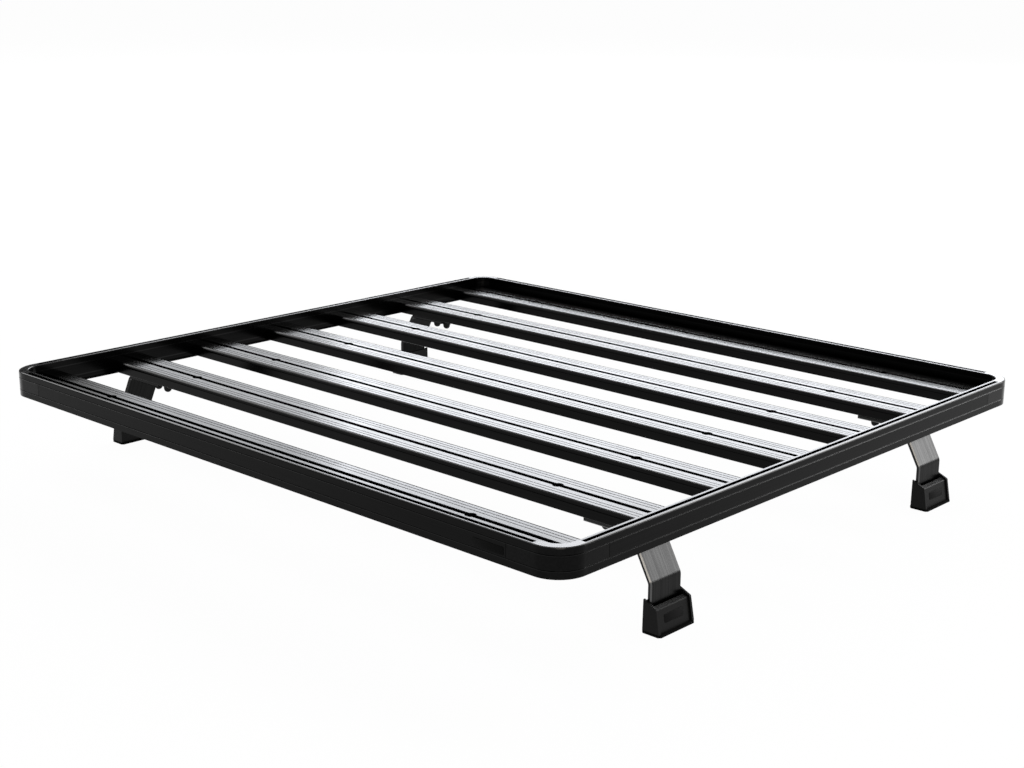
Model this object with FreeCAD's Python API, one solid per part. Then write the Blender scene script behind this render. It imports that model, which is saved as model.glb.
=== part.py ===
import FreeCAD, Part
import math
import os

# Truck bed rack: a tray of slotted aluminium slats in a frame of slotted rails, carried by four
# bent strap legs whose covered feet stand on rubber pads.
# Millimetres. X runs across the vehicle along the slats, Y from front to rear and Z up.
# The origin is under the middle of the tray, on the plane that the pads stand on.

# Tray
tray_width = 1475.0  # across the vehicle, over the side rails
slat_count = 7
slat_pitch = 202.0
end_margin = 73.0  # outside of the front or rear rail to the nearest slat's centreline
ground_clearance = 154.0  # underside of the rails above the ground

# Slots that take the heads of tee bolts, in the slats and the rails
slot_mouth = 8.5
slot_lip = 3.0  # metal beside the mouth, above the chamber
slot_chamber_height = 6.5

# Rail extrusion
rail_width = 18.5
rail_height = 49.0
rail_wall = 2.5
rail_slot_centre = 9.0  # from the outer face
rail_slot_chamber = 13.0
rail_web = 2.5  # under the slot's chamber
rail_edge_reach = 2.4  # of the two flats that break the outer top edge
rail_inner_edge_chamfer = 0.8
strip_edge_drops = (12.7, 36.7)  # from the rail's top down to the edges of the strip in its outer face
strip_thickness = 1.2
strip_groove_width = 2.2  # of the vee grooves along the strip's edges
strip_end_gap = 0.8  # from a strip's end to the tongue of a corner piece
seat_width = 3.5  # lip under the slat ends
seat_thickness = 2.7

# Corner pieces
corner_radius = 52.0
corner_reach = 58.5  # from the outside of the tray to the end of the rail
corner_wall = 3.0
tongue_length = 48.0  # past the end of the rail, in the seat of the strip
spigot_length = 28.0
spigot_clearance = 0.3

# Slat extrusion
slat_width = 86.0
slat_thickness = 22.6
slat_wall = 2.4
slat_top_radius = 7.0
slat_bottom_radius = 2.0
slat_slot_chamber = 16.0
slat_slot_chamfer = 1.0  # along both edges of the upper mouth
slat_end_clearance = 0.3
slat_groove_offsets = (18.0, 27.0, 36.0)  # from the slat's centreline
slat_groove_width = 1.0
slat_groove_depth = 0.6
slot_entry_inset = 250.5  # from the outside of the tray to the round entry in each slat's slot
slot_entry_diameter = 14.0

# Legs
strap_width = 76.0
strap_thickness = 8.0
strap_edge_chamfer = 2.0
strap_bend_radius = 8.0  # on the inside of the upper bends
foot_bend_radius = 4.0
leg_face_inset = 22.7  # outside of the tray to the outer face of the upright
leg_lean_deg = 28.5
leg_knee_drop = 75.9  # from the slat down to the lower end of the lean
leg_flange_length = 100.0  # under the slat, up to the bend
leg_bolt_offsets = (18.0, 50.0)  # from the flange's end
leg_bolt_clearance = 0.5

# Tee bolts that hang the legs under the slats
bolt_diameter = 8.0
bolt_head_width = 13.0
bolt_head_height = 5.3
nut_across_flats = 17.0
nut_height = 20.0
nut_end_chamfer = 4.0  # round the closed end
nut_thread_depth = 12.0

# Feet
pad_thickness = 4.0
pad_side_margin = 0.5  # beyond the sides of the cover
pad_edge_margin = 2.5  # beyond the front and back of the cover
pad_corner_chamfer = 4.0
foot_flange_length = 16.5  # from the upright's outer face to the toe
foot_hole_diameter = 6.6
foot_hole_spacing = 44.0
foot_hole_offset = 10.0  # from the upright's outer face
pad_hole_diameter = 11.0

# Foot covers
cover_wall = 2.2
cover_clearance = 0.4  # behind and beside the strap
cover_front_gap = 5.0  # between the strap and the top panel
cover_base_depth = 33.0
cover_top_depth = 26.0
cover_back_height = 51.5
cover_front_height = 40.0
cover_cheek = 4.0  # thickness of the side walls at the top
cover_side_clearance = 1.6  # between the strap's foot and the side walls
cover_side_draft = 1.0  # by which each side wall leans out at the base
cover_cheek_rise = 3.0  # of the cheeks above the top and front panels
cover_edge_radius = 3.0  # between the top and front panels
plate_width = 48.0  # shallow seat for a plate in the front panel
plate_height = 14.6
plate_corner_radius = 3.0
plate_depth = 0.6
plate_centre_height = 20.2  # above the bottom of the cover

tray_length = slat_pitch * (slat_count - 1) + 2 * end_margin
rail_top = ground_clearance + rail_height
slat_underside = ground_clearance + seat_thickness
slat_top = slat_underside + slat_thickness
slat_length = tray_width - 2 * (rail_width + slat_end_clearance)
slat_places = [slat_pitch * (n - (slat_count - 1) / 2) for n in range(slat_count)]
leg_face = tray_width / 2 - leg_face_inset
leg_bend = leg_face - leg_knee_drop * math.tan(math.radians(leg_lean_deg))
leg_flange_end = leg_bend - leg_flange_length
foot_flange_top = pad_thickness + strap_thickness
cover_back = leg_face - strap_thickness - cover_clearance - cover_wall
cover_top_width = strap_width + 2 * (cover_side_clearance + cover_cheek)
cover_base_width = cover_top_width + 2 * cover_side_draft
cover_lean = math.atan2(cover_base_depth - cover_top_depth, cover_front_height)
pad_width = cover_base_width + 2 * pad_side_margin
pad_depth = cover_base_depth + 2 * pad_edge_margin
pad_back = cover_back - pad_edge_margin
strip_top, strip_bottom = (rail_top - drop for drop in strip_edge_drops)

up = FreeCAD.Vector(0, 0, 1)
centre = FreeCAD.Vector(0, 0, 0)


def point(y, z):
    return FreeCAD.Vector(0, y, z)


def bend(before, corner, after, radius):
    """Start, middle and end of the arc that rounds a corner; all three are the corner if it is sharp."""
    if radius == 0:
        return corner, corner, corner
    to_before = (before - corner).normalize()
    to_after = (after - corner).normalize()
    half = to_before.getAngle(to_after) / 2
    reach = radius / math.tan(half)
    inward = (to_before + to_after).normalize()
    middle = corner + inward * (radius / math.sin(half) - radius)
    return corner + to_before * reach, middle, corner + to_after * reach


def outline(corners):
    """Face in the YZ plane from (y, z, radius) corners."""
    places = [point(y, z) for y, z, _ in corners]
    following = places[1:] + places[:1]
    bends = [
        bend(before, corner, after, radius)
        for before, corner, after, (_, _, radius) in zip(places[-1:] + places, places, following, corners)
    ]
    edges = []
    for (start, middle, end), (next_start, _, _) in zip(bends, bends[1:] + bends[:1]):
        if start != end:
            edges.append(Part.Arc(start, middle, end).toShape())
        edges.append(Part.LineSegment(end, next_start).toShape())
    return Part.Face(Part.Wire(edges))


def rectangle(y_low, y_high, z_low, z_high):
    corners = [(y_low, z_low), (y_high, z_low), (y_high, z_high), (y_low, z_high)]
    return outline([(y, z, 0) for y, z in corners])


def section(body, cuts):
    """One face: the body's outline less every cut."""
    return body.cut(cuts).Faces[0]


def along_x(face, length):
    """Extrusion of a YZ face, centred on X = 0."""
    solid = face.extrude(FreeCAD.Vector(length, 0, 0))
    solid.translate(FreeCAD.Vector(-length / 2, 0, 0))
    return solid


def turned(shape, degrees):
    copy = shape.copy()
    copy.rotate(centre, up, degrees)
    return copy


def moved(shape, x, y, z=0.0):
    copy = shape.copy()
    copy.translate(FreeCAD.Vector(x, y, z))
    return copy


def cylinder(diameter, z_low, z_high, x=0.0, y=0.0):
    return Part.makeCylinder(diameter / 2, z_high - z_low, FreeCAD.Vector(x, y, z_low))


def tee_slot(y, face_z, inward, chamber_width):
    """Mouth and chamber of a tee slot that opens at face_z and goes inward (-1 is down, 1 is up)."""
    lip_z = face_z + inward * slot_lip
    floor_z = lip_z + inward * slot_chamber_height
    mouth = rectangle(y - slot_mouth / 2, y + slot_mouth / 2, *sorted((face_z, lip_z)))
    chamber = rectangle(y - chamber_width / 2, y + chamber_width / 2, *sorted((lip_z, floor_z)))
    return [mouth, chamber]


def inset(corners, depths):
    """Corners of a polygon, listed anticlockwise, with the side after each corner moved inward by a depth."""
    places = [point(y, z) for y, z in corners]
    sides = [(b - a).normalize() for a, b in zip(places, places[1:] + places[:1])]
    shrunk = []
    for n, place in enumerate(places):
        before, after = sides[n - 1], sides[n]
        turn = before.y * after.z - before.z * after.y
        place += (after * depths[n - 1] - before * depths[n]) * (1 / turn)
        shrunk.append((place.y, place.z))
    return shrunk


def strip_grooves(outer_y):
    """Vee grooves along both edges of the strip in an outer face at outer_y."""
    half = strip_groove_width / 2
    return [
        outline([(outer_y, z - half, 0), (outer_y + strip_thickness, z, 0), (outer_y, z + half, 0)])
        for z in (strip_top, strip_bottom)
    ]


def strip_section(outer_y, edge_spread):
    """Strip in an outer face at outer_y; its edges spread apart from the seat's floor to that face."""
    floor_y = outer_y + strip_thickness
    return outline([
        (outer_y, strip_bottom - edge_spread, 0),
        (floor_y, strip_bottom, 0),
        (floor_y, strip_top, 0),
        (outer_y, strip_top + edge_spread, 0),
    ])


def strip(length, outside):
    """Strip of the front rail, between the tongues of its corner pieces."""
    face = strip_section(-outside, -strip_groove_width / 2)
    return along_x(face, length - 2 * (tongue_length + strip_end_gap))


def rail_hollow(outer_y, clearance):
    """Closed chamber under a rail's slot, shrunk by a clearance all round."""
    roof = rail_top - slot_lip - slot_chamber_height - rail_web
    floor = ground_clearance + seat_thickness
    return rectangle(
        outer_y + rail_wall + clearance,
        outer_y + rail_width - rail_wall - clearance,
        floor + clearance,
        roof - clearance,
    )


def rail_upright(outer_y):
    """Corners of the rail's box section from its bottom outer edge round to its top outer edge."""
    inner_y = outer_y + rail_width
    flats_meet = rail_edge_reach * (1 - math.cos(math.pi / 4))
    return [
        (outer_y, ground_clearance, 0),
        (inner_y, ground_clearance, 0),
        (inner_y, rail_top - rail_inner_edge_chamfer, 0),
        (inner_y - rail_inner_edge_chamfer, rail_top, 0),
        (outer_y + rail_edge_reach, rail_top, 0),
        (outer_y + flats_meet, rail_top - flats_meet, 0),
        (outer_y, rail_top - rail_edge_reach, 0),
    ]


def rail(length, outside):
    """Front rail; its outer face is at Y = -outside."""
    outer_y = -outside
    inner_y = outer_y + rail_width
    seat_y = inner_y + seat_width
    seat_top = ground_clearance + seat_thickness
    first, _, *rest = rail_upright(outer_y)
    seat = [(seat_y, ground_clearance, 0), (seat_y, seat_top, 0), (inner_y, seat_top, 0)]
    slot = tee_slot(outer_y + rail_slot_centre, rail_top, -1, rail_slot_chamber)
    cuts = slot + [strip_section(outer_y, strip_groove_width / 2), rail_hollow(outer_y, 0)]
    return along_x(section(outline([first, *seat, *rest]), cuts), length)


def corner_piece():
    """Front right corner, with the centre of its round at X = Y = 0; a spigot and tongue enter each rail."""
    outer_y = -corner_radius
    stub = corner_reach - corner_radius
    profile = section(outline(rail_upright(outer_y)), strip_grooves(outer_y))
    spigot = rail_hollow(outer_y, spigot_clearance)
    tongue = strip_section(outer_y, -strip_groove_width / 2)
    body = profile.revolve(centre, up, 90)
    for face, length in ((profile, stub), (spigot, stub + spigot_length), (tongue, stub + tongue_length)):
        body = body.fuse(face.extrude(FreeCAD.Vector(-length, 0, 0)))
        body = body.fuse(turned(face.extrude(FreeCAD.Vector(length, 0, 0)), 90))
    inside = rectangle(
        outer_y + corner_wall,
        outer_y + rail_width - corner_wall,
        ground_clearance,
        rail_top - corner_wall,
    )
    return body.removeSplitter().cut(inside.revolve(centre, up, 90))


def slat():
    """Slat on Y = 0, hollow each side of its two slots."""
    half = slat_width / 2
    body = outline([
        (-half, slat_underside, slat_bottom_radius),
        (half, slat_underside, slat_bottom_radius),
        (half, slat_top, slat_top_radius),
        (-half, slat_top, slat_top_radius),
    ])
    cuts = tee_slot(0, slat_top, -1, slat_slot_chamber) + tee_slot(0, slat_underside, 1, slat_slot_chamber)
    mouth = slot_mouth / 2
    flare = mouth + slat_slot_chamfer
    cuts.append(outline([
        (-flare, slat_top, 0),
        (flare, slat_top, 0),
        (mouth, slat_top - slat_slot_chamfer, 0),
        (-mouth, slat_top - slat_slot_chamfer, 0),
    ]))
    near = slat_slot_chamber / 2 + slat_wall
    far = half - slat_wall
    low = slat_underside + slat_wall
    high = slat_top - slat_wall
    hollow_radius = slat_top_radius - slat_wall
    for side in (-1, 1):
        cuts.append(outline([
            (side * near, low, 0),
            (side * far, low, 0),
            (side * far, high, hollow_radius),
            (side * near, high, 0),
        ]))
        for offset in slat_groove_offsets:
            edge = slat_groove_width / 2
            cuts.append(outline([
                (side * offset - edge, slat_top, 0),
                (side * offset + edge, slat_top, 0),
                (side * offset, slat_top - slat_groove_depth, 0),
            ]))
    solid = along_x(section(body, cuts), slat_length)
    entry_x = tray_width / 2 - slot_entry_inset
    entries = [cylinder(slot_entry_diameter, slat_top - slot_lip, slat_top, x) for x in (-entry_x, entry_x)]
    return solid.cut(entries)


def bent_strip(path, thickness):
    """Face of a strip whose left face follows a path of (y, z, inside bend radius)."""
    places = [point(y, z) for y, z, _ in path]
    runs = [(b - a).normalize() for a, b in zip(places, places[1:])]
    left = []
    right = []
    for n, (y, z, radius) in enumerate(path):
        before = runs[max(n - 1, 0)]
        after = runs[min(n, len(runs) - 1)]
        turn = before.y * after.z - before.z * after.y
        across = FreeCAD.Vector(0, before.z + after.z, -before.y - after.y).normalize()
        offset = across * (thickness / math.cos(before.getAngle(after) / 2))
        left.append((y, z, radius + thickness if turn < 0 else radius))
        right.append((y + offset.y, z + offset.z, radius if turn < 0 else radius + thickness))
    right[0] = (right[0][0], right[0][1], 0)
    right[-1] = (right[-1][0], right[-1][1], 0)
    left[0] = (left[0][0], left[0][1], 0)
    left[-1] = (left[-1][0], left[-1][1], 0)
    return outline(left + right[::-1])


def leg():
    """Strap with its flange under a slat, a lean, an upright and a toe on the pad; outward is +Y."""
    knee = slat_underside - leg_knee_drop
    profile = bent_strip(
        [
            (leg_flange_end, slat_underside, 0),
            (leg_bend, slat_underside, strap_bend_radius),
            (leg_face, knee, strap_bend_radius),
            (leg_face, foot_flange_top, foot_bend_radius),
            (leg_face + foot_flange_length, foot_flange_top, 0),
        ],
        strap_thickness,
    )
    holes = []
    for offset in leg_bolt_offsets:
        y = leg_flange_end + offset
        diameter = bolt_diameter + 2 * leg_bolt_clearance
        holes.append(cylinder(diameter, slat_underside - strap_thickness, slat_underside, 0, y))
    for x in (-foot_hole_spacing / 2, foot_hole_spacing / 2):
        y = leg_face + foot_hole_offset
        holes.append(cylinder(foot_hole_diameter, pad_thickness, foot_flange_top, x, y))
    bar = along_x(profile, strap_width)
    sides = [face for face in bar.Faces if abs(face.CenterOfMass.x) > strap_width / 2 - strap_edge_chamfer]
    bar = bar.makeChamfer(strap_edge_chamfer, [edge for face in sides for edge in face.Edges])
    return bar.cut(holes)


def leg_bolt(y):
    """Tee bolt with its head in the slat's lower slot and a closed nut under the strap."""
    strap_underside = slat_underside - strap_thickness
    nut_underside = strap_underside - nut_height
    head_seat = slat_underside + slot_lip
    head = Part.makeBox(bolt_head_width, bolt_head_width, bolt_head_height)
    head.translate(FreeCAD.Vector(-bolt_head_width / 2, -bolt_head_width / 2, head_seat))
    shank = cylinder(bolt_diameter, strap_underside - nut_thread_depth, head_seat)
    nut_radius = nut_across_flats / 2 / math.cos(math.pi / 6)
    turns = [n * math.pi / 3 for n in range(7)]
    hexagon = [FreeCAD.Vector(math.cos(turn), math.sin(turn), 0) * nut_radius for turn in turns]
    nut = moved(Part.Face(Part.makePolygon(hexagon)).extrude(up * nut_height), 0, 0, nut_underside)
    closed_end = min(nut.Faces, key=lambda face: face.CenterOfMass.z)
    nut = nut.makeChamfer(nut_end_chamfer, closed_end.Edges)
    return moved(head.fuse([shank, nut]).removeSplitter(), 0, y)


def leg_bolts():
    return Part.makeCompound([leg_bolt(leg_flange_end + offset) for offset in leg_bolt_offsets])


def cover_outline(corners):
    """Side view of the cover, with its upper front corner rounded."""
    radii = (0, 0, cover_edge_radius, 0)
    return outline([(y, z, radius) for (y, z), radius in zip(corners, radii)])


def plate_seat(panel_base):
    """Rounded block that sinks the plate's seat into the front panel, whose foot is at Y = panel_base."""
    outward = 2 * cover_wall
    seat = Part.makeBox(
        plate_width,
        plate_depth + outward,
        plate_height,
        FreeCAD.Vector(-plate_width / 2, -plate_depth, -plate_height / 2),
    )
    rounds = [edge for edge in seat.Edges if abs(edge.tangentAt(edge.FirstParameter).y) > 0.5]
    seat = seat.makeFillet(plate_corner_radius, rounds)
    seat.rotate(centre, FreeCAD.Vector(1, 0, 0), math.degrees(cover_lean))
    y = panel_base - plate_centre_height * math.tan(cover_lean)
    return moved(seat, 0, y, pad_thickness + plate_centre_height)


def foot_cover():
    """Open-bottomed cap over the foot: top and front panels between drafted cheeks; outward is +Y."""
    top = pad_thickness + cover_back_height
    cheek = [
        (cover_back, pad_thickness),
        (cover_back + cover_base_depth, pad_thickness),
        (cover_back + cover_top_depth, pad_thickness + cover_front_height),
        (cover_back, top),
    ]
    panel = inset(cheek, (0, cover_cheek_rise, cover_cheek_rise, 0))
    room = inset(panel, (0, cover_wall, cover_wall, cover_wall))
    width_inside = cover_top_width - 2 * cover_cheek
    above_panel = cover_outline(cheek).cut(cover_outline(panel)).Faces[0]
    face = outline([
        (-cover_base_width / 2, pad_thickness, 0),
        (cover_base_width / 2, pad_thickness, 0),
        (cover_top_width / 2, top, 0),
        (-cover_top_width / 2, top, 0),
    ])
    draft = moved(turned(along_x(face, cover_base_depth), 90), 0, cover_back + cover_base_depth / 2)
    passage_width = strap_width + 2 * cover_clearance
    passage = Part.makeBox(
        passage_width,
        strap_thickness + cover_clearance + cover_front_gap,
        cover_back_height,
        FreeCAD.Vector(-passage_width / 2, cover_back + cover_wall, foot_flange_top),
    )
    return along_x(cover_outline(cheek), cover_base_width).common(draft).cut([
        along_x(above_panel, width_inside),
        along_x(outline([(y, z, 0) for y, z in room]), width_inside),
        passage,
        plate_seat(panel[1][0]),
    ])


def foot_pad():
    """Rubber pad under the foot, with clearance holes for the fixing bolts; outward is +Y."""
    block = Part.makeBox(pad_width, pad_depth, pad_thickness, FreeCAD.Vector(-pad_width / 2, pad_back, 0))
    uprights = [edge for edge in block.Edges if abs(edge.tangentAt(edge.FirstParameter).z) > 0.5]
    block = block.makeChamfer(pad_corner_chamfer, uprights)
    y = leg_face + foot_hole_offset
    return block.cut([
        cylinder(pad_hole_diameter, 0, pad_thickness, x, y)
        for x in (-foot_hole_spacing / 2, foot_hole_spacing / 2)
    ])


def rails():
    along_width = rail(tray_width - 2 * corner_reach, tray_length / 2)
    along_length = rail(tray_length - 2 * corner_reach, tray_width / 2)
    return {
        "front_rail": along_width,
        "right_rail": turned(along_length, 90),
        "rear_rail": turned(along_width, 180),
        "left_rail": turned(along_length, 270),
    }


def strips():
    along_width = strip(tray_width - 2 * corner_reach, tray_length / 2)
    along_length = strip(tray_length - 2 * corner_reach, tray_width / 2)
    return {
        "front_rail_strip": along_width,
        "right_rail_strip": turned(along_length, 90),
        "rear_rail_strip": turned(along_width, 180),
        "left_rail_strip": turned(along_length, 270),
    }


def corners():
    x = tray_width / 2 - corner_radius
    y = tray_length / 2 - corner_radius
    shape = corner_piece()
    return {
        "front_right_corner": moved(shape, x, -y),
        "rear_right_corner": moved(turned(shape, 90), x, y),
        "rear_left_corner": moved(turned(shape, 180), -x, y),
        "front_left_corner": moved(turned(shape, 270), -x, -y),
    }


def slats():
    shape = slat()
    return {f"slat_{n}": moved(shape, 0, y) for n, y in enumerate(slat_places, 1)}


def legs():
    """The four legs hang from the second slat and the last but one."""
    pieces = {"leg": leg(), "leg_bolts": leg_bolts(), "foot_cover": foot_cover(), "foot_pad": foot_pad()}
    nodes = {}
    for end, y in (("front", slat_places[1]), ("rear", slat_places[-2])):
        for side, degrees in (("left", 90), ("right", -90)):
            for name, shape in pieces.items():
                nodes[f"{end}_{side}_{name}"] = moved(turned(shape, degrees), 0, y)
    return nodes


os.makedirs("parts", exist_ok=True)
for name, shape in {**rails(), **strips(), **corners(), **slats(), **legs()}.items():
    shape.exportStep(f"parts/{name}.step")
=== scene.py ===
import logging
import math
from collections.abc import Callable, Iterator
from dataclasses import dataclass
from enum import Enum

import bpy
from bpy.types import Material, MeshPolygon, Node, NodeSocket, NodeTree, Object
from mathutils import Matrix, Vector


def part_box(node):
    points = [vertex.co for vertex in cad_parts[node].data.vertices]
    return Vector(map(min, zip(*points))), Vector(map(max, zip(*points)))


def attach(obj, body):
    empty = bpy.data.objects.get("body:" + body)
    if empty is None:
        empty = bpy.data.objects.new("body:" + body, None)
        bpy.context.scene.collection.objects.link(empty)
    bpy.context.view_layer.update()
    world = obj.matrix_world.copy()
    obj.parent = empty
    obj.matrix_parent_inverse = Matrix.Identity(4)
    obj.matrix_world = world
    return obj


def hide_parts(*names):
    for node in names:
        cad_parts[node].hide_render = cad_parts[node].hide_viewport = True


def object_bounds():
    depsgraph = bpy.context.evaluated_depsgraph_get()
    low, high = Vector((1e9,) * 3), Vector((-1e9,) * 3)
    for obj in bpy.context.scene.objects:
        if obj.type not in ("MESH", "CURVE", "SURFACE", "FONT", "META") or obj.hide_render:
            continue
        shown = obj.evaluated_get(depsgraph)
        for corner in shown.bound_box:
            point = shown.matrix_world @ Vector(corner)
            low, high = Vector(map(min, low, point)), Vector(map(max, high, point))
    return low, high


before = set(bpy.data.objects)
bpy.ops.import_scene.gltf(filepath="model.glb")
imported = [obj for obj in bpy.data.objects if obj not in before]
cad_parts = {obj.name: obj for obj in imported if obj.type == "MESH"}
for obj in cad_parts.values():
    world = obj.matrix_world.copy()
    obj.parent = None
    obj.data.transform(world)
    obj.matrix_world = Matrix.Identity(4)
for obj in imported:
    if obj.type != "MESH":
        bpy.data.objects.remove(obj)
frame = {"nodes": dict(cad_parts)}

CAD_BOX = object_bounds()
BODY = "root"
MM = 0.001
WHITE = "#ffffff"
SQUARE_ON = 0.9
CHAMFER_TURN = math.cos(math.radians(45.0))
log = logging.getLogger("truck_bed_rack")


class Along(Enum):
    """Direction in which a metal piece was drawn or extruded."""

    X = (1.0, 0.0, 0.0)
    Y = (0.0, 1.0, 0.0)
    BENT_IN_XZ = (1.0, 0.0, 1.0)
    NONE = (0.0, 0.0, 0.0)


class Side(Enum):
    """Side of the tray, as the sign of its X coordinate."""

    LEFT = -1
    RIGHT = 1


class End(Enum):
    """End of the tray, as the sign of its Y coordinate."""

    FRONT = -1
    REAR = 1


def leg_places() -> Iterator[tuple[str, Side]]:
    """The four legs, from front left to rear right.

    Returns:
        The start of each leg's node names, and its side.
    """
    for end in End:
        for side in Side:
            yield f"{end.name.lower()}_{side.name.lower()}", side


def linear(code: str) -> tuple[float, float, float, float]:
    """Linear colour of an sRGB hex value.

    Args:
        code: six hex digits after a hash sign.

    Returns:
        Red, green, blue and an alpha of 1.
    """
    shares = [int(code[n:n + 2], 16) / 255 for n in (1, 3, 5)]
    red, green, blue = (s / 12.92 if s <= 0.04045 else ((s + 0.055) / 1.055) ** 2.4 for s in shares)
    return red, green, blue, 1.0


def brightened(code: str, share: float) -> tuple[float, float, float, float]:
    """Linear colour of an sRGB hex value, times a share.

    Args:
        code: six hex digits after a hash sign.
        share: factor of red, green and blue.

    Returns:
        Red, green, blue and an alpha of 1.
    """
    red, green, blue, alpha = linear(code)
    return red * share, green * share, blue * share, alpha


def grey(share: float) -> tuple[float, float, float, float]:
    """Linear grey of one level.

    Args:
        share: level of red, green and blue.

    Returns:
        Red, green, blue and an alpha of 1.
    """
    return share, share, share, 1.0


def add_node(tree: NodeTree, kind: str, inputs: dict | None = None, **settings: object) -> Node:
    """Adds a node with its settings, values and links.

    Args:
        tree: node tree that gets the node.
        kind: Blender's name for the node's type.
        inputs: value, or output socket to link, for each input by name or number.
        **settings: attributes of the node.

    Returns:
        The new node.
    """
    node = tree.nodes.new(kind)
    for name, value in settings.items():
        setattr(node, name, value)
    for name, value in (inputs or {}).items():
        if isinstance(value, NodeSocket):
            tree.links.new(value, node.inputs[name])
        else:
            node.inputs[name].default_value = value
    return node


def reckon(tree: NodeTree, operation: str, *values: NodeSocket | float) -> NodeSocket:
    """Adds a math node.

    Args:
        tree: node tree that gets the node.
        operation: Blender's name for the sum.
        *values: the node's inputs, in order.

    Returns:
        The result's socket.
    """
    return add_node(tree, "ShaderNodeMath", dict(enumerate(values)), operation=operation).outputs["Value"]


def blend(
    tree: NodeTree, factor: NodeSocket | float, first: object, second: object, way: str = "MIX",
) -> NodeSocket:
    """Adds a mix of two colours.

    Args:
        tree: node tree that gets the node.
        factor: share of the second colour.
        first: socket or colour.
        second: socket or colour.
        way: Blender's name for the way of mixing.

    Returns:
        The mixed colour's socket.
    """
    inputs = {"Factor": factor, "A": first, "B": second}
    return add_node(tree, "ShaderNodeMix", inputs, data_type="RGBA", blend_type=way).outputs["Result"]


def noise(tree: NodeTree, place: NodeSocket, size_mm: float, detail: float) -> NodeSocket:
    """Adds a noise.

    Args:
        tree: node tree that gets the node.
        place: coordinates that it is read at.
        size_mm: rough size of its features.
        detail: number of finer layers.

    Returns:
        The noise's socket, from 0 to 1.
    """
    inputs = {"Vector": place, "Scale": 1 / (size_mm * MM), "Detail": detail}
    return add_node(tree, "ShaderNodeTexNoise", inputs).outputs["Fac"]


def spread(tree: NodeTree, value: NodeSocket, low: float, high: float) -> NodeSocket:
    """Maps a value from between 0 and 1 to a new range.

    Args:
        tree: node tree that gets the node.
        value: socket to map.
        low: result at 0.
        high: result at 1.

    Returns:
        The mapped value's socket.
    """
    inputs = {"Value": value, "To Min": low, "To Max": high}
    return add_node(tree, "ShaderNodeMapRange", inputs).outputs["Result"]


def axis_of(tree: NodeTree, vector: NodeSocket, axis: str) -> NodeSocket:
    """Takes one coordinate out of a vector.

    Args:
        tree: node tree that gets the node.
        vector: socket of the vector.
        axis: X, Y or Z.

    Returns:
        The coordinate's socket.
    """
    return add_node(tree, "ShaderNodeSeparateXYZ", {"Vector": vector}).outputs[axis]


def new_material(name: str) -> tuple[Material, NodeTree, Node]:
    """Empty node material.

    Args:
        name: name of the material.

    Returns:
        The material, its node tree and its output node.
    """
    material = bpy.data.materials.new(name)
    material.use_nodes = True
    tree = material.node_tree
    tree.nodes.clear()
    return material, tree, add_node(tree, "ShaderNodeOutputMaterial")


@dataclass(frozen=True)
class PaintedHighlightEdge:
    """Painted highlight along a sharp edge round the rails: its height, half its width and its brightness."""

    height_mm: float
    reach_mm: float
    share: float


@dataclass(frozen=True)
class PaintedShadeLine:
    """Line of painted shade along a slat: its distance from the slat's middle and half its width."""

    offset_mm: float
    reach_mm: float


@dataclass(frozen=True)
class PaintedShadeRim:
    """Round spot of painted shade in the middle of a slat: its distance from the tray's middle and its
    radius.
    """

    x_mm: float
    radius_mm: float


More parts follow.
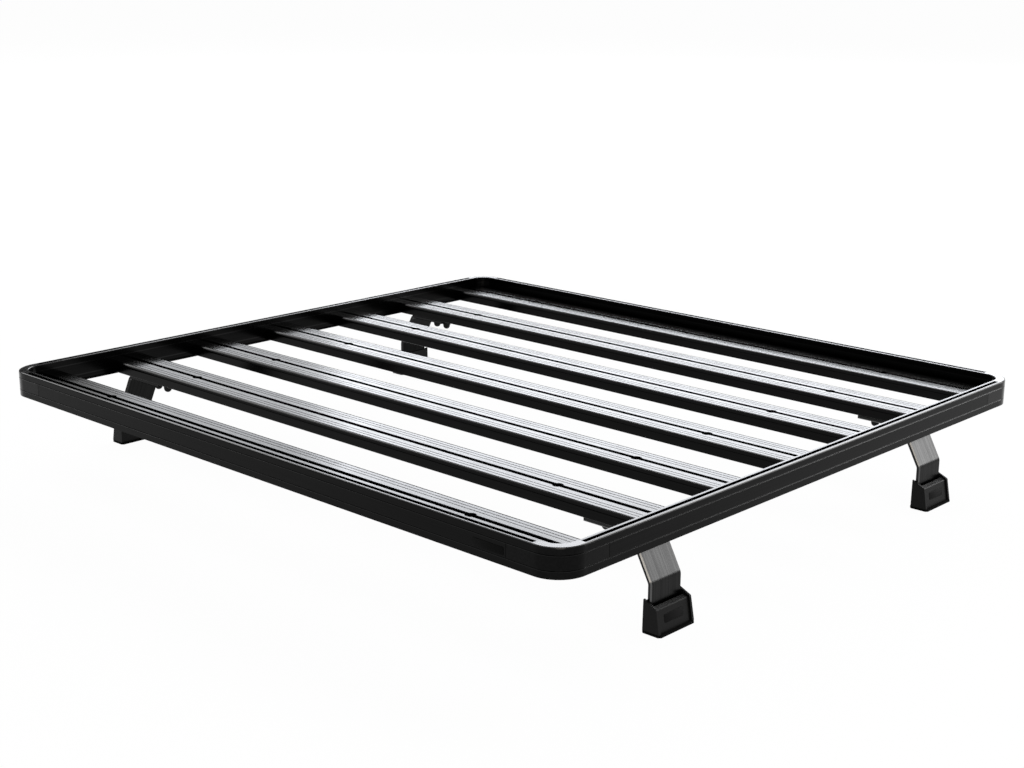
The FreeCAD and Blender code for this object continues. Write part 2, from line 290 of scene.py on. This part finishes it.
@dataclass(frozen=True)
class AnodisedAluminium:
    """Extruded aluminium, etched and anodised black: dark seen square on, a satin sheen at a low angle.

    The reflection climbs steeply towards grazing, held back a little by the dark film. The die draws
    fine lines along the extrusion and etching leaves slow changes of gloss. Sharp edges carry painted
    highlights, as paler lines in the colour. A slat has painted shade beside its slot and its fine grooves,
    and in a rim round each entry of its slot, wider than the entry. A strap has painted shade on the side
    towards the tray's middle.
    """

    name: str
    colour: str
    roughness: float
    drawn: Along
    die_line_mm: float = 1.1
    die_line_length: float = 250.0
    die_line_relief_mm: float = 0.012
    gloss_patch_mm: float = 60.0
    gloss_change: float = 0.05
    grazing_share: float = 0.8
    streak: float = 1.25
    streak_from: float = 0.35
    streak_to: float = 0.65
    painted_highlight_edges: tuple[PaintedHighlightEdge, ...] = ()
    painted_chamfer_highlight_share: float = 1.0
    chamfer_tolerance: float = 0.12
    inner_painted_shade_share: float = 1.0
    inner_tolerance: float = 0.5
    painted_shade_lines: tuple[PaintedShadeLine, ...] = ()
    painted_shade_rim: PaintedShadeRim | None = None
    painted_shade_pitch_mm: float = 202.0
    painted_shade_grazing_share: float = 0.3

    def material(self) -> Material:
        """Builds the node material.

        Returns:
            The material.
        """
        material, tree, output = new_material(self.name)
        coordinates = add_node(tree, "ShaderNodeTexCoord")
        place, normal = coordinates.outputs["Object"], coordinates.outputs["Normal"]
        stretch = [1 / self.die_line_length if part else 1.0 for part in self.drawn.value]
        lines_at = add_node(tree, "ShaderNodeMapping", {"Vector": place, "Scale": stretch}).outputs["Vector"]
        lines = noise(tree, lines_at, self.die_line_mm, 2.0)
        patches = noise(tree, place, self.gloss_patch_mm, 3.0)
        glossiest, dullest = self.roughness - self.gloss_change, self.roughness + self.gloss_change
        relief = add_node(tree, "ShaderNodeBump", {"Height": lines, "Distance": self.die_line_relief_mm * MM})
        streaks = add_node(tree, "ShaderNodeMapRange", {
            "Value": lines,
            "From Min": self.streak_from,
            "From Max": self.streak_to,
        }).outputs["Result"]
        film = blend(tree, streaks, linear(self.colour), brightened(self.colour, self.streak))
        surface = add_node(tree, "ShaderNodeBsdfPrincipled", {
            "Base Color": self.with_painted_light(tree, place, normal, film),
            "Metallic": 1.0,
            "Specular Tint": self.grazing_with_painted_shade(tree, place),
            "Roughness": spread(tree, patches, glossiest, dullest),
            "Normal": relief.outputs["Normal"],
        })
        tree.links.new(surface.outputs["BSDF"], output.inputs["Surface"])
        return material

    def with_painted_light(self, tree: NodeTree, place: NodeSocket, normal: NodeSocket, film: NodeSocket) -> NodeSocket:
        """Colour with painted highlights as paler bands at sharp edges and chamfers, and painted shade on the
        inner side.

        Args:
            tree: node tree that gets the nodes.
            place: object coordinates.
            normal: the face's direction in the same coordinates.
            film: colour of the plain film.

        Returns:
            The colour's socket.
        """
        height = axis_of(tree, place, "Z")
        # Painted highlights: paler bands of colour at the listed heights.
        bands = [(height, edge.height_mm * MM, edge.reach_mm * MM, edge.share) for edge in self.painted_highlight_edges]
        # Painted highlight: faces turned 45 degrees towards Y, the straps' chamfers, get a paler colour.
        if self.painted_chamfer_highlight_share != 1.0:
            facing = reckon(tree, "ABSOLUTE", axis_of(tree, normal, "Y"))
            bands.append((facing, CHAMFER_TURN, self.chamfer_tolerance, self.painted_chamfer_highlight_share))
        # Painted shade: faces turned towards the tray's middle get a darker colour.
        if self.inner_painted_shade_share != 1.0:
            side = reckon(tree, "SIGN", axis_of(tree, place, "X"))
            outward = reckon(tree, "MULTIPLY", axis_of(tree, normal, "X"), side)
            bands.append((outward, -1.0, self.inner_tolerance, self.inner_painted_shade_share))
        for value, middle, reach, share in bands:
            near = reckon(tree, "COMPARE", value, middle, reach)
            film = blend(tree, 1.0, film, blend(tree, near, grey(1.0), grey(share)), "MULTIPLY")
        return film

    def grazing_with_painted_shade(self, tree: NodeTree, place: NodeSocket) -> NodeSocket:
        """Share of the grazing reflection that the film lets through, with painted shade beside grooves and
        round slot entries.

        Args:
            tree: node tree that gets the nodes.
            place: object coordinates.

        Returns:
            The share's socket, as a grey.
        """
        half = self.painted_shade_pitch_mm * MM / 2
        local = reckon(tree, "WRAP", axis_of(tree, place, "Y"), half, -half)
        across = reckon(tree, "ABSOLUTE", local)
        # Painted shade: bands of weaker grazing reflection beside the slot and the fine grooves.
        bands = [(across, line.offset_mm * MM, line.reach_mm * MM) for line in self.painted_shade_lines]
        # Painted shade: a round patch of weaker grazing reflection round each slot entry.
        if self.painted_shade_rim:
            along = reckon(tree, "ABSOLUTE", axis_of(tree, place, "X"))
            spot = add_node(tree, "ShaderNodeCombineXYZ", {"X": along, "Y": across})
            away = add_node(tree, "ShaderNodeVectorMath", {
                0: spot.outputs["Vector"],
                1: (self.painted_shade_rim.x_mm * MM, 0.0, 0.0),
            }, operation="DISTANCE")
            bands.append((away.outputs["Value"], 0.0, self.painted_shade_rim.radius_mm * MM))
        plain = add_node(tree, "ShaderNodeRGB")
        plain.outputs["Color"].default_value = grey(self.grazing_share)
        share = plain.outputs["Color"]
        for value, middle, reach in bands:
            near = reckon(tree, "COMPARE", value, middle, reach)
            share = blend(tree, near, share, grey(self.painted_shade_grazing_share))
        return share


@dataclass(frozen=True)
class Moulded:
    """Moulded plastic or rubber: a dark body colour under a fine even grain from the mould's etched steel."""

    name: str
    colour: str
    roughness: float
    grain_mm: float
    grain_relief_mm: float
    ior: float
    grain_share: float = 1.5
    flow_mm: float = 35.0
    gloss_change: float = 0.06

    def material(self) -> Material:
        """Builds the node material.

        Returns:
            The material.
        """
        material, tree, output = new_material(self.name)
        place = add_node(tree, "ShaderNodeTexCoord").outputs["Object"]
        grain = noise(tree, place, self.grain_mm, 4.0)
        flow = noise(tree, place, self.flow_mm, 2.0)
        glossiest, dullest = self.roughness - self.gloss_change, self.roughness + self.gloss_change
        relief = add_node(tree, "ShaderNodeBump", {"Height": grain, "Distance": self.grain_relief_mm * MM})
        surface = add_node(tree, "ShaderNodeBsdfPrincipled", {
            "Base Color": blend(tree, grain, linear(self.colour), brightened(self.colour, self.grain_share)),
            "Roughness": spread(tree, flow, glossiest, dullest),
            "IOR": self.ior,
            "Normal": relief.outputs["Normal"],
        })
        tree.links.new(surface.outputs["BSDF"], output.inputs["Surface"])
        return material


TRAY_TOP_MM = CAD_BOX[1].z / MM
# Painted highlights: paler bands in the colour at the rails' top edge and at the two edges of their strip.
RAIL_PAINTED_HIGHLIGHTS = (
    PaintedHighlightEdge(TRAY_TOP_MM - 0.5, reach_mm=0.45, share=5.0),
    PaintedHighlightEdge(TRAY_TOP_MM - 12.7, reach_mm=1.2, share=2.2),
    PaintedHighlightEdge(TRAY_TOP_MM - 36.7, reach_mm=1.2, share=2.2),
)
# Painted shade: the slats' grazing reflection is cut beside the slot's edge and the fine grooves.
SLOT_EDGE = PaintedShadeLine(4.8, reach_mm=0.6)
FINE_GROOVES = tuple(PaintedShadeLine(offset, reach_mm=0.9) for offset in (18.0, 27.0, 36.0))
# Painted shade: a dark rim round each slot entry, wider than the entry in the mesh.
SLOT_ENTRY = PaintedShadeRim(487.0, radius_mm=9.6)

RAIL_X = AnodisedAluminium("black_anodised_rail_across", "#131313", 0.20, Along.X, painted_highlight_edges=RAIL_PAINTED_HIGHLIGHTS)
RAIL_Y = AnodisedAluminium("black_anodised_rail_along", "#131313", 0.20, Along.Y, painted_highlight_edges=RAIL_PAINTED_HIGHLIGHTS)
CORNER = AnodisedAluminium(
    "black_anodised_casting", "#131313", 0.20, Along.NONE,
    die_line_mm=4.0,
    grazing_share=0.9,
    painted_highlight_edges=RAIL_PAINTED_HIGHLIGHTS,
)
SLAT = AnodisedAluminium(
    "black_anodised_slat", "#131313", 0.19, Along.X,
    painted_shade_lines=(SLOT_EDGE, *FINE_GROOVES),
    painted_shade_rim=SLOT_ENTRY,
)
STRAP = AnodisedAluminium(
    "black_anodised_strap", "#232323", 0.24, Along.BENT_IN_XZ,
    die_line_mm=4.0,
    die_line_relief_mm=0.016,
    streak=1.45,
    grazing_share=0.68,
    # Painted highlight on the strap's chamfers: their colour is 4.2 times brighter.
    painted_chamfer_highlight_share=4.2,
    # Painted shade on the strap's side towards the tray's middle.
    inner_painted_shade_share=0.35,
)
BOLT = AnodisedAluminium("black_oxide_steel", "#1a1a1a", 0.35, Along.NONE, die_line_mm=1.5)
COVER = Moulded("moulded_black_nylon", "#0b0b0b", 0.38, grain_mm=0.7, grain_relief_mm=0.03, ior=1.18)
PAD = Moulded("black_rubber", "#050505", 0.85, grain_mm=1.2, grain_relief_mm=0.05, ior=1.12)
RAIL_PLATE = Moulded(
    "satin_black_rail_plate", "#050505", 0.55,
    grain_mm=0.5,
    grain_relief_mm=0.01,
    ior=1.12,
)
COVER_PLATE = Moulded(
    "satin_black_cover_plate", "#060606", 0.48,
    grain_mm=0.5,
    grain_relief_mm=0.01,
    ior=1.13,
)


def dress(piece: Object, material: Material) -> None:
    """Puts one material in every slot of a piece.

    Args:
        piece: mesh object.
        material: material that all its faces get.
    """
    if not piece.material_slots:
        piece.data.materials.append(material)
    for slot in piece.material_slots:
        slot.material = material


def start_modelling() -> None:
    """Deselects everything, so that the next operator acts on new geometry only."""
    bpy.ops.object.select_all(action="DESELECT")


def is_level(face: MeshPolygon) -> bool:
    """Test of a face that looks straight up or down.

    Args:
        face: face of a mesh.

    Returns:
        Whether it does.
    """
    return abs(face.normal.z) > SQUARE_ON


def bevel_faces(piece: Object, chosen: Callable[[MeshPolygon], bool], offset: float) -> None:
    """Rounds the edges of some faces of a mesh.

    Args:
        piece: active mesh object, in object mode.
        chosen: test of a face.
        offset: width of the rounding.
    """
    bpy.ops.object.mode_set(mode="EDIT")
    bpy.ops.mesh.select_mode(type="FACE")
    bpy.ops.mesh.select_all(action="DESELECT")
    bpy.ops.object.mode_set(mode="OBJECT")
    for polygon in piece.data.polygons:
        polygon.select = chosen(polygon)
    bpy.ops.object.mode_set(mode="EDIT")
    bpy.ops.mesh.bevel(offset=offset, segments=2, affect="EDGES")
    bpy.ops.object.mode_set(mode="OBJECT")


def joined(pieces: list[Object]) -> Object:
    """Joins pieces into the first one.

    Args:
        pieces: mesh objects.

    Returns:
        The first object, active and selected.
    """
    start_modelling()
    for piece in pieces:
        piece.select_set(True)
    bpy.context.view_layer.objects.active = pieces[0]
    bpy.ops.object.join()
    return bpy.context.active_object


def settle(piece: Object, name: str, smooth_deg: float = 35.0) -> Object:
    """Names a finished piece, smooths its shading and moves its place into its mesh.

    Args:
        piece: active, selected mesh object in object mode.
        name: name of the piece.
        smooth_deg: edges flatter than this are shaded smooth.

    Returns:
        The same object.
    """
    piece.name = name
    piece.data.name = name
    bpy.ops.object.transform_apply(location=True, rotation=True, scale=True)
    bpy.ops.object.shade_smooth_by_angle(angle=math.radians(smooth_deg))
    return piece


def copy_of(piece: Object, name: str, place: Matrix) -> Object:
    """Copy with its own mesh, its place in the mesh.

    Args:
        piece: object at the origin.
        name: name of the copy.
        place: transform of the copy's mesh.

    Returns:
        The copy, at the origin.
    """
    copy = piece.copy()
    copy.data = piece.data.copy()
    copy.name = name
    copy.data.name = name
    copy.data.transform(place)
    bpy.context.scene.collection.objects.link(copy)
    return copy


@dataclass
class Tray:
    """Rails, strips, corners and slats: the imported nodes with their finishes."""

    nodes: dict[str, Object]

    def dress(self) -> None:
        """Gives every metal node of the tray its anodised finish."""
        across = RAIL_X.material()
        along = RAIL_Y.material()
        corner = CORNER.material()
        slat = SLAT.material()
        for name, node in self.nodes.items():
            if "corner" in name:
                dress(node, corner)
            elif name.startswith("slat"):
                dress(node, slat)
            elif name.startswith(("front_rail", "rear_rail")):
                dress(node, across)
            elif name.startswith(("left_rail", "right_rail")):
                dress(node, along)
        log.info("tray dressed")


@dataclass
class Legs:
    """Strap legs with their covers and pads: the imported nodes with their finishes."""

    nodes: dict[str, Object]

    def dress(self) -> None:
        """Gives the straps, covers and pads their finishes."""
        finishes = {"leg": STRAP.material(), "foot_cover": COVER.material(), "foot_pad": PAD.material()}
        for name, node in self.nodes.items():
            for ending, material in finishes.items():
                if name.endswith("_" + ending):
                    dress(node, material)
        log.info("legs dressed")


@dataclass
class CapNuts:
    """Tee bolts in the slats' lower slots, with domed cap nuts and washers under the legs' flanges."""

    across_flats: float = 17.0 * MM
    hex_height: float = 8.0 * MM
    hex_edge: float = 0.8 * MM
    dome_diameter: float = 16.0 * MM
    dome_overlap: float = 0.5 * MM
    height: float = 18.0 * MM
    washer_diameter: float = 20.0 * MM
    washer_thickness: float = 2.0 * MM
    washer_edge: float = 0.35 * MM
    bolt_spacing: float = 32.0 * MM
    head_width: float = 13.0 * MM
    head_height: float = 5.3 * MM
    head_edge: float = 0.8 * MM
    shank_diameter: float = 8.0 * MM
    strap_thickness: float = 8.0 * MM
    slot_lip: float = 3.0 * MM
    round_sides: int = 40
    shank_sides: int = 24

    def washer(self) -> Object:
        """Models the washer, hanging from Z = 0, with both rims broken.

        Returns:
            The washer.
        """
        start_modelling()
        bpy.ops.mesh.primitive_cylinder_add(
            vertices=self.round_sides,
            radius=self.washer_diameter / 2,
            depth=self.washer_thickness,
            location=(0, 0, -self.washer_thickness / 2),
        )
        washer = bpy.context.active_object
        bevel_faces(washer, is_level, self.washer_edge)
        return settle(washer, "washer")

    def hexagon(self) -> Object:
        """Models the nut's hexagon under the washer, with chamfered corners.

        Returns:
            The hexagon.
        """
        start_modelling()
        bpy.ops.mesh.primitive_cylinder_add(
            vertices=6,
            radius=self.across_flats / 2 / math.cos(math.pi / 6),
            depth=self.hex_height,
            location=(0, 0, -self.washer_thickness - self.hex_height / 2),
        )
        nut = bpy.context.active_object
        bevel_faces(nut, is_level, self.hex_edge)
        return settle(nut, "hexagon")

    def dome(self) -> Object:
        """Models the dome under the hexagon from the lower half of a sphere.

        Returns:
            The dome, with a skirt that reaches into the hexagon.
        """
        radius = self.dome_diameter / 2
        centre = -self.washer_thickness - self.height + radius
        skirt = self.height - self.hex_height - radius + self.dome_overlap
        start_modelling()
        bpy.ops.mesh.primitive_uv_sphere_add(
            segments=self.round_sides,
            ring_count=self.round_sides // 2,
            radius=radius,
            location=(0, 0, centre),
        )
        dome = bpy.context.active_object
        bpy.ops.object.mode_set(mode="EDIT")
        bpy.ops.mesh.select_all(action="SELECT")
        bpy.ops.mesh.bisect(plane_co=(0, 0, centre), plane_no=(0, 0, 1), clear_outer=True)
        bpy.ops.mesh.extrude_region_move(TRANSFORM_OT_translate={"value": (0, 0, skirt)})
        bpy.ops.object.mode_set(mode="OBJECT")
        return settle(dome, "dome")

    def tee_head(self) -> Object:
        """Models the shank and the square head that sits in the slat's lower slot.

        Returns:
            The head with its shank.
        """
        top = self.strap_thickness + self.slot_lip
        bottom = -self.height / 2
        start_modelling()
        bpy.ops.mesh.primitive_cylinder_add(
            vertices=self.shank_sides,
            radius=self.shank_diameter / 2,
            depth=top - bottom,
            location=(0, 0, (top + bottom) / 2),
        )
        shank = bpy.context.active_object
        bpy.ops.mesh.primitive_cube_add(size=1, location=(0, 0, top + self.head_height / 2))
        head = bpy.context.active_object
        head.scale = (self.head_width, self.head_width, self.head_height)
        bpy.ops.object.transform_apply(scale=True)
        bevel_faces(head, lambda face: face.normal.z > SQUARE_ON, self.head_edge)
        return settle(joined([head, shank]), "tee_head")

    def build(self) -> None:
        """Models one bolt and copies a pair of it under each leg, in place of the leg's plain bolts."""
        bolt = settle(joined([self.washer(), self.hexagon(), self.dome(), self.tee_head()]), "leg_bolt")
        dress(bolt, BOLT.material())
        for leg, _ in leg_places():
            self.hang(bolt, leg)
        bpy.data.objects.remove(bolt)

    def hang(self, bolt: Object, leg: str) -> None:
        """Copies the bolt to both places of one leg.

        Args:
            bolt: the modelled bolt, its washer's top at Z = 0.
            leg: start of the leg's node names.
        """
        node = f"{leg}_leg_bolts"
        low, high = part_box(node)
        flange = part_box(f"{leg}_leg")[1].z - self.strap_thickness
        middle = (low + high) / 2
        pair = []
        for step in (-0.5, 0.5):
            place = Matrix.Translation((middle.x + step * self.bolt_spacing, middle.y, flange))
            pair.append(copy_of(bolt, f"{leg}_cap_nuts", place))
        nuts = joined(pair)
        nuts.name = f"{leg}_cap_nuts"
        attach(nuts, BODY)
        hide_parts(node)
        log.info("cap nuts under %s leg", leg)


@dataclass
class BarePlates:
    """Plain plates: one on the front strip, one in each foot cover.

    The covers' outer panels stand back from their frames and lean in by 7 mm over 40 mm.
    """

    rail_plate_x: tuple[float, float] = (562.0 * MM, 626.0 * MM)
    rail_plate_drop: tuple[float, float] = (20.0 * MM, 33.5 * MM)
    rail_plate_thickness: float = 0.6 * MM
    cover_plate_width: float = 47.4 * MM
    cover_plate_height: float = 14.0 * MM
    cover_plate_thickness: float = 0.9 * MM
    cover_plate_sunk: float = 0.6 * MM
    cover_plate_rise: float = 20.2 * MM
    corner_radius: float = 2.6 * MM
    corner_segments: int = 8
    face_edge: float = 0.25 * MM
    cover_lean: float = math.atan2(7.0, 40.0)
    cover_panel_inset: float = 3.0 * MM

    def plate(self, width: float, height: float, thickness: float) -> Object:
        """Models a rounded plate, facing -Y, with its back on Y = 0.

        Args:
            width: along X.
            height: along Z.
            thickness: from its back to its face.

        Returns:
            The plate, centred on X = Z = 0.
        """
        start_modelling()
        bpy.ops.mesh.primitive_cube_add(size=1, location=(0, -thickness / 2, 0))
        plate = bpy.context.active_object
        plate.scale = (width, thickness, height)
        bpy.ops.object.transform_apply(location=True, scale=True)
        bpy.ops.object.mode_set(mode="EDIT")
        bpy.ops.mesh.select_mode(type="EDGE")
        bpy.ops.mesh.select_all(action="DESELECT")
        bpy.ops.object.mode_set(mode="OBJECT")
        corners = plate.data.vertices
        for edge in plate.data.edges:
            start, end = (corners[n].co for n in edge.vertices)
            edge.select = abs(start.y - end.y) > thickness / 2
        bpy.ops.object.mode_set(mode="EDIT")
        bpy.ops.mesh.bevel(offset=self.corner_radius, segments=self.corner_segments, affect="EDGES")
        bpy.ops.object.mode_set(mode="OBJECT")
        bevel_faces(plate, lambda face: face.normal.y < -SQUARE_ON, self.face_edge)
        return settle(plate, "plate")

    def build(self) -> None:
        """Models the plates and puts them in place."""
        self.on_front_rail(RAIL_PLATE.material())
        self.on_covers(COVER_PLATE.material())

    def on_front_rail(self, material: Material) -> None:
        """Puts the long plate on the front rail, by the right corner.

        Args:
            material: finish of the plate.
        """
        low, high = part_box("front_rail")
        left, right = self.rail_plate_x
        upper, lower = self.rail_plate_drop
        plate = self.plate(right - left, lower - upper, self.rail_plate_thickness)
        plate.data.transform(Matrix.Translation(((left + right) / 2, low.y, high.z - (upper + lower) / 2)))
        plate.name = "front_rail_plate"
        dress(plate, material)
        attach(plate, BODY)
        log.info("front rail plate")

    def on_covers(self, material: Material) -> None:
        """Puts a plate into the seat of each foot cover.

        Args:
            material: finish of the plates.
        """
        plate = self.plate(self.cover_plate_width, self.cover_plate_height, self.cover_plate_thickness)
        dress(plate, material)
        inset = self.cover_panel_inset / math.cos(self.cover_lean)
        for leg, side in leg_places():
            low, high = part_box(f"{leg}_foot_cover")
            outer = high.x if side is Side.RIGHT else -low.x
            reach = outer - inset - self.cover_plate_rise * math.tan(self.cover_lean)
            place = (
                Matrix.Translation((side.value * reach, (low.y + high.y) / 2, low.z + self.cover_plate_rise))
                @ Matrix.Rotation(side.value * math.pi / 2, 4, "Z")
                @ Matrix.Rotation(-self.cover_lean, 4, "X")
                @ Matrix.Translation((0, self.cover_plate_sunk, 0))
            )
            copy = copy_of(plate, f"{leg}_cover_plate", place)
            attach(copy, BODY)
        bpy.data.objects.remove(plate)
        log.info("cover plates")


def direction(azimuth_deg: float, elevation_deg: float) -> Vector:
    """Unit vector from the tray towards a point of the room.

    Args:
        azimuth_deg: angle from +Y towards +X.
        elevation_deg: angle above the floor.

    Returns:
        The vector.
    """
    azimuth, elevation = math.radians(azimuth_deg), math.radians(elevation_deg)
    return Vector((
        math.sin(azimuth) * math.cos(elevation),
        math.cos(azimuth) * math.cos(elevation),
        math.sin(elevation),
    ))


@dataclass(frozen=True)
class Panel:
    """Rectangle in the room that faces the middle of the tray, and that the camera doesn't see."""

    name: str
    azimuth_deg: float
    elevation_deg: float
    distance: float
    width: float
    height: float

    def aim(self, piece: Object, target: Vector) -> None:
        """Names a piece, puts it in the panel's place and turns it to a point.

        Args:
            piece: lamp or card that lies across its own Z.
            target: point that the panel faces.
        """
        away = direction(self.azimuth_deg, self.elevation_deg)
        piece.name = self.name
        piece.location = target + away * self.distance
        piece.rotation_mode = "QUATERNION"
        piece.rotation_quaternion = away.to_track_quat("Z", "Y")
        piece.visible_camera = False
        log.info("panel %s", self.name)


@dataclass(frozen=True)
class Softbox(Panel):
    """Rectangular soft light."""

    radiance: float
    colour: str = WHITE

    def build(self, target: Vector) -> None:
        """Adds the light.

        Args:
            target: point that the light faces.
        """
        start_modelling()
        bpy.ops.object.light_add(type="AREA")
        lamp = bpy.context.active_object
        self.aim(lamp, target)
        lamp.data.shape = "RECTANGLE"
        lamp.data.size = self.width
        lamp.data.size_y = self.height
        lamp.data.energy = self.radiance * math.pi * self.width * self.height
        lamp.data.color = linear(self.colour)[:3]


@dataclass(frozen=True)
class Flag(Panel):
    """Black card that keeps the white room out of the reflections at one end of the tray."""

    colour: str = "#101010"

    def build(self, target: Vector) -> None:
        """Adds the card.

        Args:
            target: point that the card faces.
        """
        start_modelling()
        bpy.ops.mesh.primitive_plane_add(size=1)
        card = bpy.context.active_object
        self.aim(card, target)
        card.scale = (self.width, self.height, 1.0)
        material, tree, output = new_material("black_card")
        cloth = add_node(tree, "ShaderNodeBsdfDiffuse", {"Color": linear(self.colour)})
        tree.links.new(cloth.outputs["BSDF"], output.inputs["Surface"])
        card.data.materials.append(material)


COOL = "#f6f9ff"
CREAM = "#fff6e8"


@dataclass
class Studio:
    """White room: a pale floor that keeps the shadow, a white world and soft lights round the rack."""

    floor_size: float = 60.0
    floor_gap: float = 0.1 * MM
    floor_colour: str = "#f2f2f2"
    floor_glow: float = 0.975
    world_light: float = 0.3
    panels: tuple[Softbox | Flag, ...] = (
        Softbox("left_panel", -55.5, 18.5, 12.0, 2.1, 2.1, 3.2, COOL),
        Softbox("back_panel", -30.4, 14.6, 12.0, 8.7, 0.6, 8.5, COOL),
        Softbox("high_back_panel", -30.4, 20.3, 12.0, 8.7, 1.7, 8.2, COOL),
        Softbox("top_panel", -12.0, 36.0, 12.0, 12.0, 3.6, 11.0),
        Softbox("left_top_panel", -80.0, 35.0, 12.0, 10.0, 3.0, 4.0),
        Softbox("side_panel", 35.0, 15.5, 12.0, 4.6, 3.2, 13.0),
        Softbox("front_panel", 131.0, 20.3, 12.0, 5.0, 3.0, 6.0, CREAM),
        Flag("left_flag", -75.0, 13.0, 11.0, 4.4, 4.4),
    )

    def seen_directly(self, tree: NodeTree) -> NodeSocket:
        """Output that is 1 for camera, glossy and transmission rays.

        Args:
            tree: node tree that gets the nodes.

        Returns:
            The socket.
        """
        rays = add_node(tree, "ShaderNodeLightPath").outputs
        pair = reckon(tree, "MAXIMUM", rays["Is Camera Ray"], rays["Is Glossy Ray"])
        return reckon(tree, "MAXIMUM", pair, rays["Is Transmission Ray"])

    def world(self) -> None:
        """White world: full white where it is seen, a plain level where it lights."""
        world = bpy.data.worlds.new("white_room")
        bpy.context.scene.world = world
        world.use_nodes = True
        tree = world.node_tree
        tree.nodes.clear()
        background = add_node(tree, "ShaderNodeBackground", {
            "Color": linear(WHITE),
            "Strength": spread(tree, self.seen_directly(tree), self.world_light, 1.0),
        })
        output = add_node(tree, "ShaderNodeOutputWorld")
        tree.links.new(background.outputs["Background"], output.inputs["Surface"])

    def floor(self) -> None:
        """Pale floor that whitens where it is seen, and still takes the rack's shadow."""
        start_modelling()
        bpy.ops.mesh.primitive_plane_add(size=self.floor_size, location=(0, 0, CAD_BOX[0].z - self.floor_gap))
        floor = bpy.context.active_object
        floor.name = "floor"
        material, tree, output = new_material("pale_studio_floor")
        paint = add_node(tree, "ShaderNodeBsdfDiffuse", {"Color": linear(self.floor_colour)})
        glow = add_node(tree, "ShaderNodeEmission", {"Color": linear(WHITE), "Strength": 1.0})
        mixed = add_node(tree, "ShaderNodeMixShader", {
            0: reckon(tree, "MULTIPLY", self.seen_directly(tree), self.floor_glow),
            1: paint.outputs["BSDF"],
            2: glow.outputs["Emission"],
        })
        tree.links.new(mixed.outputs["Shader"], output.inputs["Surface"])
        floor.data.materials.append(material)

    def build(self) -> None:
        """Makes the world, the floor, the lights and the black card."""
        self.world()
        self.floor()
        middle = (CAD_BOX[0] + CAD_BOX[1]) / 2
        for panel in self.panels:
            panel.build(middle)


@dataclass
class PhotoCamera:
    """Camera at the photograph's place, turned and framed as it was. Its azimuth runs from -Y towards +X."""

    location: tuple[float, float, float] = (2.1680, -2.3079, 1.0329)
    azimuth_deg: float = 43.1483
    elevation_deg: float = 15.0821
    roll_deg: float = 0.3394
    focal_px: float = 1642.907
    image_width_px: float = 1024.0
    sensor_mm: float = 36.0
    clip_end: float = 200.0

    def build(self) -> None:
        """Adds the camera and makes it the scene's."""
        azimuth, roll = math.radians(self.azimuth_deg), math.radians(self.roll_deg)
        back = direction(180.0 - self.azimuth_deg, self.elevation_deg)
        right = Vector((math.cos(azimuth), math.sin(azimuth), 0.0))
        up = back.cross(right)
        across = right * math.cos(roll) + up * math.sin(roll)
        upward = up * math.cos(roll) - right * math.sin(roll)
        turn = Matrix((across, upward, back)).transposed().to_4x4()
        start_modelling()
        bpy.ops.object.camera_add()
        camera = bpy.context.active_object
        camera.matrix_world = Matrix.Translation(self.location) @ turn
        camera.data.sensor_width = self.sensor_mm
        camera.data.lens = self.sensor_mm * self.focal_px / self.image_width_px
        camera.data.clip_end = self.clip_end
        bpy.context.scene.camera = camera
        log.info("camera")


def main() -> None:
    """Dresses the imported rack, adds its small pieces, and sets the studio and the camera."""
    logging.basicConfig(level=logging.INFO)
    bpy.context.scene.view_settings.view_transform = "Standard"
    nodes = frame["nodes"]
    Tray(nodes).dress()
    Legs(nodes).dress()
    CapNuts().build()
    BarePlates().build()
    Studio().build()
    PhotoCamera().build()


if __name__ == "__main__":
    main()
